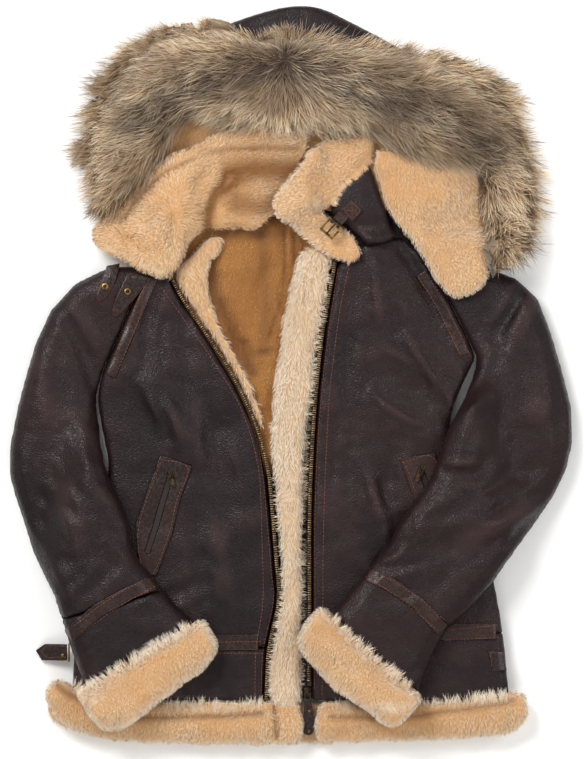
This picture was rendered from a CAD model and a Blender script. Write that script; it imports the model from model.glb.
"""The looks of a hooded shearling flying jacket, laid flat on its back with the sleeves folded in."""

import sys
import logging
import math
from collections.abc import Callable, Sequence
from dataclasses import dataclass
from enum import Enum
from functools import cache

import bpy
import numpy as np
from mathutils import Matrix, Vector
from mathutils.bvhtree import BVHTree
from mathutils.kdtree import KDTree


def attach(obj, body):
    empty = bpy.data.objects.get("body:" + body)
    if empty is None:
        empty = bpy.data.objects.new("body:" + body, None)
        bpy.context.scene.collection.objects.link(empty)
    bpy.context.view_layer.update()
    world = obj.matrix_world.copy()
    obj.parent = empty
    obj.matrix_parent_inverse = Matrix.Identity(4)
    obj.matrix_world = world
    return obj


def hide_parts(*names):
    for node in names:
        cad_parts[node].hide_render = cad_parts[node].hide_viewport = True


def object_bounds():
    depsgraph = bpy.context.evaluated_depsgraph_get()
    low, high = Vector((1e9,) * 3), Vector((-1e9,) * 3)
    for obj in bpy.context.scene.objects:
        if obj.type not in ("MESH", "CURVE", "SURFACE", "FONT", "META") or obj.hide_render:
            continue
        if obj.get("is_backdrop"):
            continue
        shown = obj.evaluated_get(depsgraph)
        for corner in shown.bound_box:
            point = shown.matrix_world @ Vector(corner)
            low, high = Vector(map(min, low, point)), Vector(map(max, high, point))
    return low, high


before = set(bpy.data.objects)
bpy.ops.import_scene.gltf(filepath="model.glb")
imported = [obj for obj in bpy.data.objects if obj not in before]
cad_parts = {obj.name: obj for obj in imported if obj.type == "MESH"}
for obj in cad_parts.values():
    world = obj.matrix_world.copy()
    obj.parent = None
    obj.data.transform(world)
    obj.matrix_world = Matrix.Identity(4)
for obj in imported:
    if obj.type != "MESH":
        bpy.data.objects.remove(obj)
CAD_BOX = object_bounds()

log = logging.getLogger("jacket")

Array = np.ndarray
Place = tuple[float, float]
Rows = tuple[tuple[Place, ...], ...]
SidedRows = tuple[tuple[tuple[Place, ...], int], ...]
Field = Callable[[Array], Array]  # from points to a value or a way at each
Share = Callable[[Array, Array], Array]  # from points and normals to the share of hairs at each
Piece = bpy.types.Object
Mesh = bpy.types.Mesh
Material = bpy.types.Material
Tree = bpy.types.NodeTree
Socket = bpy.types.NodeSocket

MM = 0.001
STEP = 1.2 * MM  # one step of the layout grid, which starts at the view's upper left corner
GRID_MIDDLE = (292.0, 375.0)  # the grid place over the pattern's own origin
GRID_SHIFT = (1.1239 * MM, 0.5 * MM)  # from the frame's origin to the pattern's
JACKET = "jacket"
SAME_POINT = 0.01 * MM  # points closer than this are one point
TABLE_GAP = 0.6 * MM  # no hair comes nearer to the table
TOP = 103 * MM  # no hair stands higher


def spot(across: float, down: float) -> Place:
    """The place on the table, in metres, of a place on the layout grid."""
    return (
        STEP * (across - GRID_MIDDLE[0]) + GRID_SHIFT[0],
        STEP * (GRID_MIDDLE[1] - down) + GRID_SHIFT[1],
    )


def layout(points: Array) -> Array:
    """The places of points on the layout grid, across and down."""
    origin, step = np.array(spot(0, 0)), np.array(spot(1, 1)) - np.array(spot(0, 0))
    return (points[:, :2] - origin) / step


def linear(code: str) -> tuple[float, float, float, float]:
    """Turns an sRGB colour into a linear one.

    Args:
        code: The colour as hex digits, such as "#d8a96c".

    Returns:
        Its linear red, green and blue, and alpha 1.
    """
    parts = [int(code[i : i + 2], 16) / 255 for i in (1, 3, 5)]
    made = [p / 12.92 if p <= 0.04045 else ((p + 0.055) / 1.055) ** 2.4 for p in parts]
    return (made[0], made[1], made[2], 1.0)


def add_node(
    tree: Tree,
    kind: str,
    settings: dict[str, object] | None = None,
    inputs: dict[str | int, object] | None = None,
) -> bpy.types.Node:
    """Adds a node to a material.

    Args:
        tree: The material's node tree.
        kind: The node's type name, such as "ShaderNodeTexNoise".
        settings: Values of the node's own properties, by name.
        inputs: A value for each named or numbered input, or the socket that is linked to it.

    Returns:
        The new node.
    """
    node = tree.nodes.new(kind)
    for name, value in (settings or {}).items():
        setattr(node, name, value)
    for name, value in (inputs or {}).items():
        if isinstance(value, Socket):
            tree.links.new(value, node.inputs[name])
        else:
            node.inputs[name].default_value = value
    return node


def blank(name: str) -> tuple[Material, Tree, bpy.types.Node]:
    """Makes a node material.

    Args:
        name: Its name.

    Returns:
        The material, its tree and its one shader.
    """
    material = bpy.data.materials.new(name)
    material.use_nodes = True
    tree = material.node_tree
    return material, tree, tree.nodes["Principled BSDF"]


def ramp(tree: Tree, factor: Socket, stops: Sequence[tuple[float, str]]) -> Socket:
    """Adds a colour ramp over a factor.

    Args:
        tree: The material's node tree.
        factor: The factor's socket.
        stops: Places from 0 to 1, each with its hex colour.

    Returns:
        The ramp's colour socket.
    """
    node = add_node(tree, "ShaderNodeValToRGB", None, {0: factor})
    elements = node.color_ramp.elements
    while len(elements) < len(stops):
        elements.new(0.5)
    for element, (place, code) in zip(elements, stops):
        element.position = place
        element.color = linear(code)
    return node.outputs[0]


def noise(tree: Tree, size: float, detail: float = 2.0, rough: float = 0.5) -> Socket:
    """Adds noise in the object's own space.

    Args:
        tree: The material's node tree.
        size: About how wide its lumps are, in metres.
        detail: How many finer layers it has.
        rough: How strong the finer layers are.

    Returns:
        The socket of its factor, from 0 to 1.
    """
    place = add_node(tree, "ShaderNodeTexCoord").outputs["Object"]
    node = add_node(
        tree,
        "ShaderNodeTexNoise",
        None,
        {"Vector": place, "Scale": 0.5 / size, "Detail": detail, "Roughness": rough},
    )
    return node.outputs[0]


def blended(tree: Tree, factor: object, first: object, second: object) -> Socket:
    """Two colours mixed by a factor; each is a socket or a linear colour."""
    settings = {"data_type": "RGBA", "blend_type": "MIX"}
    return add_node(tree, "ShaderNodeMix", settings, {0: factor, 6: first, 7: second}).outputs[2]


def spread_over(
    tree: Tree, value: Socket, low: float, high: float, to_low: float, to_high: float
) -> Socket:
    """Takes a value from one range to another and keeps it inside that.

    Args:
        tree: The material's node tree.
        value: The value's socket.
        low: Where the first range starts.
        high: Where it ends.
        to_low: Where the second range starts.
        to_high: Where it ends.

    Returns:
        The new value's socket.
    """
    node = add_node(
        tree,
        "ShaderNodeMapRange",
        None,
        {"Value": value, "From Min": low, "From Max": high, "To Min": to_low, "To Max": to_high},
    )
    return node.outputs[0]


def named(tree: Tree, attribute: str) -> Socket:
    """The value that a mesh carries for each of its points under a name."""
    node = add_node(tree, "ShaderNodeAttribute", {"attribute_name": attribute})
    return node.outputs["Fac"]


@dataclass(frozen=True)
class WaxedSheepskin:
    """The skin side of shearling, aniline-dyed and waxed.

    It has a fine pebbled grain that glints where it is stretched.
    """

    name: str
    ground: str
    shade: str
    ridge: str
    grain_mm: float = 1.9  # real pebbles are 0.6 to 1 mm; drawn coarser so that they show
    roughness: float = 0.5
    relief: float = 0.35
    gloss: float = 0.26

    @cache
    def material(self) -> Material:
        """The leather as a node material."""
        material, tree, shader = blank(self.name)
        cloudy = noise(tree, 0.06, 3)
        mottled = noise(tree, 0.007, 4, 0.65)
        ground = ramp(tree, cloudy, [(0.35, self.shade), (0.62, self.ground)])
        stretched = spread_over(tree, named(tree, "ridge"), 0.45, 0.95, 0.0, 0.6)
        worn = blended(tree, stretched, ground, linear(self.ridge))
        dusty = spread_over(tree, mottled, 0.55, 0.8, 0.0, 0.3)
        shader.inputs["Base Color"].default_value = linear(self.ground)
        tree.links.new(blended(tree, dusty, worn, linear(self.ridge)), shader.inputs["Base Color"])
        place = add_node(tree, "ShaderNodeTexCoord").outputs["Object"]
        pebbles = add_node(
            tree,
            "ShaderNodeTexVoronoi",
            {"feature": "SMOOTH_F1"},
            {"Vector": place, "Scale": 1 / (self.grain_mm * MM), "Smoothness": 0.4},
        ).outputs[0]
        sparkle = noise(tree, 0.0016, 2)
        glint = spread_over(tree, sparkle, 0.38, 0.66, self.roughness - 0.14, self.roughness + 0.16)
        tree.links.new(glint, shader.inputs["Roughness"])
        shader.inputs["IOR"].default_value = 1.5
        shader.inputs["Specular IOR Level"].default_value = self.gloss
        rough = add_node(
            tree, "ShaderNodeMath", {"operation": "MULTIPLY_ADD"}, {0: mottled, 1: 0.8, 2: pebbles}
        )
        bump = add_node(
            tree,
            "ShaderNodeBump",
            None,
            {"Height": rough.outputs[0], "Distance": 0.6 * MM, "Strength": self.relief},
        )
        tree.links.new(bump.outputs[0], shader.inputs["Normal"])
        return material


@dataclass(frozen=True)
class Wool:
    """Clipped lamb's wool or long guard hair: pale, dull fibres whose colour runs from root to tip."""

    name: str
    root: str
    body: str
    tip: str
    patch: str  # the deeper colour that lies in soft patches where the pile is pressed
    deep: str  # the colour in its hollows
    patch_mm: float = 38.0
    patch_share: float = 0.6
    streaks: float = 0.25
    rim: float = 0.6  # how far wool that is seen from its side goes to the tip's colour

    @cache
    def material(self) -> Material:
        """The fibres as a node material."""
        material, tree, shader = blank(self.name)
        along = named(tree, "along")
        length = ramp(tree, along, [(0.0, self.root), (0.55, self.body), (1.0, self.tip)])
        patchy = spread_over(tree, noise(tree, self.patch_mm * MM, 3), 0.42, 0.68, 0.0, self.patch_share)
        dyed = blended(tree, patchy, length, linear(self.patch))
        flecks = spread_over(tree, noise(tree, 0.0035, 2, 0.6), 0.6, 0.74, 0.0, 0.4)
        flecked = blended(tree, flecks, dyed, linear(self.root))
        flank = spread_over(tree, named(tree, "flank"), 0.1, 0.8, 0.0, self.rim)
        pale = blended(tree, flank, flecked, linear(self.tip))
        lock = spread_over(tree, named(tree, "tone"), 0.0, 1.0, 0.0, self.streaks)
        light = blended(tree, lock, pale, linear(self.tip))
        depth = spread_over(tree, named(tree, "depth"), 0.0, 0.8, 0.0, 0.9)
        final = blended(tree, depth, light, linear(self.deep))
        tree.links.new(final, shader.inputs["Base Color"])
        shader.inputs["Roughness"].default_value = 0.72
        shader.inputs["IOR"].default_value = 1.55
        shader.inputs["Specular IOR Level"].default_value = 0.25
        shader.inputs["Sheen Weight"].default_value = 0.25
        shader.inputs["Sheen Roughness"].default_value = 0.45
        return material


@dataclass(frozen=True)
class GuardHair:
    """Raccoon fur: grey-brown underfur, a tan band and near black tips on some of the hairs."""

    name: str

    @cache
    def material(self) -> Material:
        """The hairs as a node material."""
        material, tree, shader = blank(self.name)
        along = named(tree, "along")
        pale = ramp(
            tree,
            along,
            [(0.0, "#3f2e22"), (0.28, "#8a6d50"), (0.5, "#c29e76"), (0.75, "#ecd5af"), (1.0, "#f6ebd8")],
        )
        dark = ramp(
            tree,
            along,
            [(0.0, "#3f2e22"), (0.28, "#7a5f45"), (0.5, "#a98862"), (0.74, "#54402f"), (1.0, "#1f1817")],
        )
        pick = spread_over(tree, named(tree, "tip"), 0.3, 0.7, 0.0, 1.0)
        banded = blended(tree, pick, pale, dark)
        worn = spread_over(tree, noise(tree, 0.045, 3), 0.44, 0.62, 0.0, 0.7)
        smoky = blended(tree, worn, banded, linear("#7a6048"))
        single = spread_over(tree, named(tree, "tone"), 0.62, 0.8, 0.95, 0.15)
        low = spread_over(tree, named(tree, "depth"), 0.0, 0.75, 0.0, 1.0)
        dim = add_node(tree, "ShaderNodeMath", {"operation": "MULTIPLY"}, {0: low, 1: single}).outputs[0]
        aside = spread_over(tree, named(tree, "flank"), 0.35, 0.9, 0.0, 0.75)
        rim = blended(tree, aside, smoky, blended(tree, pick, linear("#e9dcc8"), banded))
        shaded = blended(tree, dim, rim, linear("#33231a"))
        tree.links.new(shaded, shader.inputs["Base Color"])
        shader.inputs["Roughness"].default_value = 0.5
        shader.inputs["IOR"].default_value = 1.55
        shader.inputs["Specular IOR Level"].default_value = 0.35
        return material


@dataclass(frozen=True)
class Metal:
    """Zinc die-cast or brass, plated and tumbled to an antique tone, darker in its hollows."""

    name: str
    bright: str
    tarnish: str
    roughness: float = 0.38

    @cache
    def material(self) -> Material:
        """The metal as a node material."""
        material, tree, shader = blank(self.name)
        patina = noise(tree, 0.0028, 3, 0.6)
        plated = ramp(tree, patina, [(0.38, self.tarnish), (0.62, self.bright)])
        tree.links.new(plated, shader.inputs["Base Color"])
        worn = spread_over(tree, patina, 0.3, 0.7, self.roughness + 0.16, self.roughness - 0.06)
        tree.links.new(worn, shader.inputs["Roughness"])
        shader.inputs["Metallic"].default_value = 1.0
        bump = add_node(
            tree,
            "ShaderNodeBump",
            None,
            {"Height": noise(tree, 0.0012, 2), "Distance": 0.08 * MM, "Strength": 0.4},
        )
        tree.links.new(bump.outputs[0], shader.inputs["Normal"])
        return material


@dataclass(frozen=True)
class WovenTape:
    """Herringbone cotton zip tape, dark brown and matte, 0.5 mm threads drawn at 1 mm."""

    name: str
    thread: str
    gap: str
    thread_mm: float = 1.0

    @cache
    def material(self) -> Material:
        """The tape as a node material."""
        material, tree, shader = blank(self.name)
        place = add_node(tree, "ShaderNodeTexCoord").outputs["Object"]
        weave = add_node(
            tree,
            "ShaderNodeTexWave",
            {"bands_direction": "DIAGONAL"},
            {"Vector": place, "Scale": 0.314 / (self.thread_mm * MM), "Distortion": 0.6},
        ).outputs[1]
        woven = ramp(tree, weave, [(0.25, self.gap), (0.7, self.thread)])
        tree.links.new(woven, shader.inputs["Base Color"])
        shader.inputs["Roughness"].default_value = 0.85
        bump = add_node(
            tree, "ShaderNodeBump", None, {"Height": weave, "Distance": 0.3 * MM, "Strength": 0.5}
        )
        tree.links.new(bump.outputs[0], shader.inputs["Normal"])
        return material


@dataclass(frozen=True)
class Thread:
    """Bonded polyester sewing thread, a two-ply twist, rust coloured."""

    name: str
    colour: str
    shade: str

    @cache
    def material(self) -> Material:
        """The thread as a node material."""
        material, tree, shader = blank(self.name)
        twist = noise(tree, 0.0009, 1)
        twisted = ramp(tree, twist, [(0.35, self.shade), (0.65, self.colour)])
        tree.links.new(twisted, shader.inputs["Base Color"])
        shader.inputs["Roughness"].default_value = 0.55
        return material


class Finish(Enum):
    """The jacket's finishes."""

    LEATHER = WaxedSheepskin(
        "waxed_sheepskin_nap", "#231415", "#150c0d", "#3b2827", 1.9, 0.44, 0.75, 0.22
    )
    TRIM = WaxedSheepskin("edge_polished_cowhide", "#2e1c17", "#1e120e", "#4d3226", 1.5, 0.32, 0.3, 0.34)
    STRAP = WaxedSheepskin("bridle_leather", "#241816", "#1a110f", "#3a2723", 1.3, 0.3, 0.25, 0.36)
    RAW_EDGE = WaxedSheepskin("dyed_cut_edge", "#9c4328", "#74301f", "#bd6139", 1.0, 0.6, 0.2)
    HONEY = Wool(
        "honey_lamb_wool", "#c1935f", "#e9c494", "#f8ead6", "#d6a266", "#8c5a29", 38.0, 0.72, 0.24, 0.85
    )
    CREAM = Wool(
        "cream_lamb_wool", "#bd9768", "#ecd6b6", "#faf2e4", "#d8b68c", "#8d6a42", 26.0, 0.6, 0.5
    )
    LINING = Wool(
        "pressed_lining_wool", "#8a5a2b", "#bd8645", "#cf9d5d", "#8a5527", "#55331a", 46.0, 1.0, 0.3, 0.2
    )
    RUFF = GuardHair("raccoon_guard_hair")
    UNDERFUR = Wool(
        "raccoon_underfur", "#4a3627", "#a48362", "#e2c9a2", "#70543c", "#38271b", 34.0, 0.8, 0.4, 0.5
    )
    BRASS = Metal("antique_brass", "#9a7a45", "#4b3a24")
    OLD_BRASS = Metal("blackened_brass", "#5a4a38", "#241d18", 0.42)
    TEETH = Metal("tumbled_zip_brass", "#a98c64", "#54422f", 0.36)
    TAPE = WovenTape("zip_tape_cotton", "#2e2220", "#1b1413")
    THREAD = Thread("rust_polyester_thread", "#935339", "#5d3122")

    def material(self) -> Material:
        """The finish's node material."""
        return self.value.material()


def waves(seed: int, shortest: float, longest: float, count: int = 20) -> Field:
    """A smooth uneven field in space, made of plane waves.

    Args:
        seed: Which field.
        shortest: The shortest wave, in metres.
        longest: The longest wave, in metres.
        count: How many waves.

    Returns:
        A function from points to values that are mostly between -1 and 1.
    """
    rng = np.random.default_rng(seed)
    size = np.exp(rng.uniform(math.log(shortest), math.log(longest), count))
    way = rng.normal(size=(count, 3))
    way *= (2 * math.pi / size / np.linalg.norm(way, axis=1))[:, None]
    start = rng.uniform(0, 2 * math.pi, count)
    share = size**0.7 / np.sqrt((size**1.4).sum() / 2)
    return lambda points: np.sin(points @ way.T + start) @ share


@dataclass(frozen=True)
class Crease:
    """A soft ridge, or a trough if its height is below 0, between two places of the layout grid."""

    start: Place
    end: Place
    width: float  # mm from its middle to where it has faded
    height: float  # mm
    bow: float = 0.0  # mm that its middle bends aside

    def lift(self, points: Array) -> Array:
        """Works out how far it lifts points.

        Args:
            points: The points.

        Returns:
            The lift of each, in metres.
        """
        a, b = np.array(spot(*self.start)), np.array(spot(*self.end))
        run = b - a
        length = float(np.hypot(*run))
        run /= length
        offset = points[:, :2] - a
        along = offset @ run
        share = np.clip(along / length, 0, 1)
        aside = offset @ np.array([run[1], -run[0]]) - self.bow * MM * 4 * share * (1 - share)
        past = np.maximum(0, np.maximum(-along, along - length))
        across = np.hypot(aside, past) / (self.width * MM)
        fade = 0.35 + 0.65 * np.sin(np.pi * np.clip(share, 0.06, 0.94))
        pinched = np.exp(-(across**2)) - 0.42 * np.exp(-((across - 1.7) ** 2) * 1.6)
        return self.height * MM * fade * pinched


@dataclass(frozen=True)
class Seam:
    """A groove, or a welt if its height is above 0, along a line of the layout grid."""

    places: tuple[Place, ...]
    width: float  # mm
    height: float  # mm

    def near(self, points: Array) -> Array:
        """Works out how near points are to the line.

        Args:
            points: The points.

        Returns:
            A share for each, 1 on the line and 0 far from it.
        """
        line = np.array([spot(*p) for p in self.places])
        away = np.full(len(points), 1.0)
        for a, b in zip(line, line[1:]):
            t = np.clip(((points[:, :2] - a) @ (b - a)) / ((b - a) @ (b - a)), 0, 1)
            aside = points[:, :2] - a - t[:, None] * (b - a)
            away = np.minimum(away, np.linalg.norm(aside, axis=1))
        return np.exp(-((away / (self.width * MM)) ** 2))

    def lift(self, points: Array) -> Array:
        """How far it lifts each point, in metres."""
        return self.height * MM * self.near(points)


@dataclass(frozen=True)
class Tug:
    """Soft stuff pulled aside near a place of the layout grid."""

    place: Place
    reach: float  # mm to where little of the pull is left
    right: float  # mm
    up: float = 0.0  # mm towards the hood

    def pull(self, points: Array) -> Array:
        """Works out how far it moves points.

        Args:
            points: The points.

        Returns:
            The way that each one moves, in metres.
        """
        away = np.linalg.norm(points[:, :2] - np.array(spot(*self.place)), axis=1)
        share = np.exp(-((away / (self.reach * MM)) ** 2))
        return np.outer(share, [self.right * MM, self.up * MM, 0.0])


def arrays(mesh: Mesh) -> tuple[Array, Array]:
    """Reads a mesh's points.

    Args:
        mesh: The mesh.

    Returns:
        The points and the normals at them.
    """
    count = len(mesh.vertices) * 3
    points, normals = np.zeros(count, np.float32), np.zeros(count, np.float32)
    mesh.vertices.foreach_get("co", points)
    mesh.vertex_normals.foreach_get("vector", normals)
    return points.reshape(-1, 3).astype(float), normals.reshape(-1, 3).astype(float)


def triangles(mesh: Mesh) -> Array:
    """Reads a mesh's faces.

    Args:
        mesh: The mesh.

    Returns:
        The faces as triangles of point numbers.
    """
    mesh.calc_loop_triangles()
    found = np.zeros(len(mesh.loop_triangles) * 3, np.int32)
    mesh.loop_triangles.foreach_get("vertices", found)
    return found.reshape(-1, 3)


def carry(mesh: Mesh, name: str, values: Array) -> None:
    """Gives a mesh a value for each point under a name."""
    layer = mesh.attributes.get(name) or mesh.attributes.new(name, "FLOAT", "POINT")
    layer.data.foreach_set("value", np.asarray(values, np.float32))


def reshape(mesh: Mesh, points: Array) -> None:
    """Moves a mesh's points."""
    mesh.vertices.foreach_set("co", np.asarray(points, np.float32).ravel())
    mesh.update()


def even_copy(node: str, voxel: float, rounds: int, swell: float = 0.0) -> Piece:
    """A node's solid as a new object with an even, softened skin.

    Args:
        node: The CAD node.
        voxel: The size of the skin's squares, in metres.
        rounds: How often the skin is smoothed.
        swell: How far a thin piece is swollen while its skin is made, in metres.

    Returns:
        The new object, which stands for nothing yet.
    """
    draft = bpy.data.objects.new("draft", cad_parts[node].data.copy())
    bpy.context.scene.collection.objects.link(draft)
    if swell:
        draft.modifiers.new("joined", "WELD").merge_threshold = SAME_POINT
        fat = draft.modifiers.new("fat", "DISPLACE")
        fat.strength, fat.mid_level = swell, 0.0
    even = draft.modifiers.new("even", "REMESH")
    even.mode, even.voxel_size = "VOXEL", voxel
    soft = draft.modifiers.new("soft", "SMOOTH")
    soft.factor, soft.iterations = 0.5, rounds
    made = bpy.data.meshes.new_from_object(draft.evaluated_get(bpy.context.evaluated_depsgraph_get()))
    bpy.data.objects.remove(draft)
    if swell:
        points, normals = arrays(made)
        reshape(made, points - normals * swell)
    made.materials.clear()
    made.shade_smooth()
    piece = bpy.data.objects.new(node + "_cloth", made)
    bpy.context.scene.collection.objects.link(piece)
    return piece


def one_core(name: str, nodes: Sequence[str], voxel: float, rounds: int, reach: float) -> Piece:
    """Several neighbouring solids as one skin, with the hollows between them filled.

    Args:
        name: The new piece's name.
        nodes: The CAD nodes.
        voxel: The size of the skin's squares, in metres.
        rounds: How often the skin is smoothed.
        reach: Hollows up to twice this wide are filled, in metres.

    Returns:
        The new object.
    """
    parts = [even_copy(node, voxel, 0) for node in nodes]
    points, faces, count = [], [], 0
    for part in parts:
        own, normals = arrays(part.data)
        points.append(own + normals * reach)
        faces.append(triangles(part.data) + count)
        count += len(own)
        bpy.data.objects.remove(part)
    draft = mesh_of(name, np.concatenate(points), np.concatenate(faces))
    even = draft.modifiers.new("even", "REMESH")
    even.mode, even.voxel_size = "VOXEL", voxel
    soft = draft.modifiers.new("soft", "SMOOTH")
    soft.factor, soft.iterations = 0.5, rounds
    made = bpy.data.meshes.new_from_object(draft.evaluated_get(bpy.context.evaluated_depsgraph_get()))
    bpy.data.objects.remove(draft)
    points, normals = arrays(made)
    reshape(made, points - normals * reach)
    made.shade_smooth()
    piece = bpy.data.objects.new(name, made)
    bpy.context.scene.collection.objects.link(piece)
    return piece


def mesh_of(name: str, points: Array, faces: Array) -> Piece:
    """Makes an object of flat faces that all have the same number of corners.

    Args:
        name: The object's name.
        points: Its points.
        faces: The point numbers of each face.

    Returns:
        The new object.
    """
    mesh = bpy.data.meshes.new(name)
    mesh.vertices.add(len(points))
    mesh.vertices.foreach_set("co", np.asarray(points, np.float32).ravel())
    mesh.loops.add(faces.size)
    mesh.loops.foreach_set("vertex_index", np.asarray(faces, np.int32).ravel())
    mesh.polygons.add(len(faces))
    mesh.polygons.foreach_set("loop_start", np.arange(0, faces.size, faces.shape[1], dtype=np.int32))
    mesh.update(calc_edges=True)
    mesh.shade_smooth()
    piece = bpy.data.objects.new(name, mesh)
    bpy.context.scene.collection.objects.link(piece)
    return piece


def finished(piece: Piece, finish: Finish, slot: str, body: str = JACKET) -> Piece:
    """Dresses a piece and hands it to the frame.

    Args:
        piece: The piece.
        finish: Its finish.
        slot: The record's material slot.
        body: The body that it rides on.

    Returns:
        The same piece.
    """
    piece.data.materials.clear()
    piece.data.materials.append(finish.material())
    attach(piece, body)
    return piece


def eased(mesh: Mesh, points: Array, share: Array, rounds: int) -> Array:
    """Draws points towards the middle of their neighbours on the mesh.

    Args:
        mesh: The mesh.
        points: Its points.
        share: How far each is drawn in a round, from 0 to 1.
        rounds: How many rounds.

    Returns:
        The new points.
    """
    ends = np.zeros(len(mesh.edges) * 2, np.int32)
    mesh.edges.foreach_get("vertices", ends)
    first, second = ends.reshape(-1, 2).T
    count = np.bincount(ends, minlength=len(points))[:, None]
    for _ in range(rounds):
        near = np.zeros_like(points)
        np.add.at(near, first, points[second])
        np.add.at(near, second, points[first])
        points = points + (near / np.maximum(count, 1) - points) * share[:, None]
    return points


def unit(vectors: Array) -> Array:
    """Vectors made 1 long."""
    return vectors / np.maximum(np.linalg.norm(vectors, axis=1), 1e-9)[:, None]


def swept(piece: Piece, rim: float = 1.0) -> None:
    """Marks how far each point of a skin looks sideways.

    Args:
        piece: The skin.
        rim: The mark of a point that looks straight aside.
    """
    _, normals = arrays(piece.data)
    carry(piece.data, "flank", rim * (1 - np.clip(normals[:, 2], 0, 1)))
    carry(piece.data, "along", np.full(len(normals), 0.12))


class Surface:
    """What has been laid so far, to set small things on it."""

    top = 0.2  # metres; everything lies lower

    def __init__(self, pieces: Sequence[Piece]) -> None:
        """Gathers faces.

        Args:
            pieces: The pieces that have them.
        """
        points, faces, count = [], [], 0
        for piece in pieces:
            own, _ = arrays(piece.data)
            points.append(own)
            faces.append(triangles(piece.data) + count)
            count += len(own)
        corners, sides = np.concatenate(points).tolist(), np.concatenate(faces).tolist()
        self.tree = BVHTree.FromPolygons(corners, sides)

    def under(self, x: float, y: float) -> tuple[Vector, Vector] | None:
        """Finds what lies at a place.

        Args:
            x: The place's X, in metres.
            y: Its Y, in metres.

        Returns:
            The highest point there and its normal, or nothing.
        """
        place, normal, _, _ = self.tree.ray_cast(Vector((x, y, self.top)), Vector((0, 0, -1)))
        if place is None:
            return None
        return place, (normal if normal.z > 0 else -normal)


class Draping:
    """How far dressed panels moved from their solids, so that what lies on them moves too."""

    ring_mm = 8  # the rise is also read this far round a point
    highest = 3  # how many of the rises read there count, the highest first
    evened = 40  # how many neighbours a rise is averaged over

    def __init__(self, nodes: Sequence[str]) -> None:
        """Takes the panels by their nodes' names."""
        self.solid = Surface([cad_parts[node] for node in nodes])
        self.dressed = Surface([bpy.data.objects[node + "_cloth"] for node in nodes])

    def shift(self, points: Array) -> Array:
        """Finds the rise of what lies on the panels, evened out so that it bridges a seam's groove.

        Args:
            points: The points that lie on them.

        Returns:
            How far up each point moves, in metres.
        """
        moved = np.zeros(len(points))
        ring = [(0.0, 0.0)]
        ring += [(self.ring_mm * math.cos(t), self.ring_mm * math.sin(t)) for t in range(6)]
        near = KDTree(len(points))
        for i, (x, y, _) in enumerate(points):
            near.insert((x, y, 0.0), i)
            read = []
            for aside, along in ring:
                before = self.solid.under(x + aside * MM, y + along * MM)
                after = self.dressed.under(x + aside * MM, y + along * MM)
                if before and after:
                    read.append(after[0].z - before[0].z)
            moved[i] = sum(sorted(read)[-self.highest :]) / max(len(read[-self.highest :]), 1)
        near.balance()
        even = np.zeros(len(points))
        for i, (x, y, _) in enumerate(points):
            even[i] = moved[[found[1] for found in near.find_n((x, y, 0.0), self.evened)]].mean()
        return even


@dataclass(frozen=True)
class Leather:
    """How a leather piece is made from its solid."""

    thin_swell = 0.9 * MM  # how far a thin strip is swollen while its skin is made
    thin_lift = 0.8 * MM  # how far it lies above the panels under it
    raw_slope = 0.55  # faces steeper than this are a strap's cut edge

    finish: Finish = Finish.LEATHER
    slot: str = "leather"
    voxel: float = 3.9 * MM
    rounds: int = 5
    ripple: float = 0.55 * MM
    seed: int = 1
    cut_edge: Finish | None = None

    def cut(
        self,
        node: str,
        creases: Sequence[Crease] = (),
        over: Draping | None = None,
        tugs: Sequence[Tug] = (),
    ) -> Piece:
        """Makes the piece for a node, with its creases and a faint uneven ripple.

        Args:
            node: The CAD node that the piece stands for.
            creases: Ridges and troughs, placed by hand.
            over: The panels that the piece lies on, if it is thin and follows them.
            tugs: Places where the piece is pulled aside.

        Returns:
            The finished piece.
        """
        piece = even_copy(node, self.voxel, self.rounds, self.thin_swell if over else 0.0)
        points, normals = arrays(piece.data)
        up = np.clip(normals[:, 2], 0, 1) ** 0.5
        lift = sum((crease.lift(points) for crease in creases), np.zeros(len(points)))
        broad, fine = waves(self.seed, 0.03, 0.09), waves(self.seed + 50, 0.009, 0.024)
        lift += self.ripple * (1.1 * broad(points) + 0.34 * fine(points))
        points[:, 2] += lift * up
        if over:
            points[:, 2] += over.shift(points) + self.thin_lift
        points += sum((tug.pull(points) for tug in tugs), np.zeros_like(points))
        reshape(piece.data, points)
        carry(piece.data, "ridge", np.clip(0.42 + lift / (5 * MM), 0, 1) * up)
        finished(piece, self.finish, self.slot)
        if self.cut_edge:
            piece.data.materials.append(self.cut_edge.material())
            ways = np.zeros(len(piece.data.polygons) * 3, np.float32)
            piece.data.polygons.foreach_get("normal", ways)
            raw = np.abs(ways.reshape(-1, 3)[:, 2]) < self.raw_slope
            piece.data.polygons.foreach_set("material_index", raw.astype(np.int32))
        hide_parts(node)
        return piece


@dataclass
class Roots:
    """Where hairs start: their places, the way out of the skin, the combed way and the lock of each."""

    place: Array
    out: Array
    way: Array
    lock: Array


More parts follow.
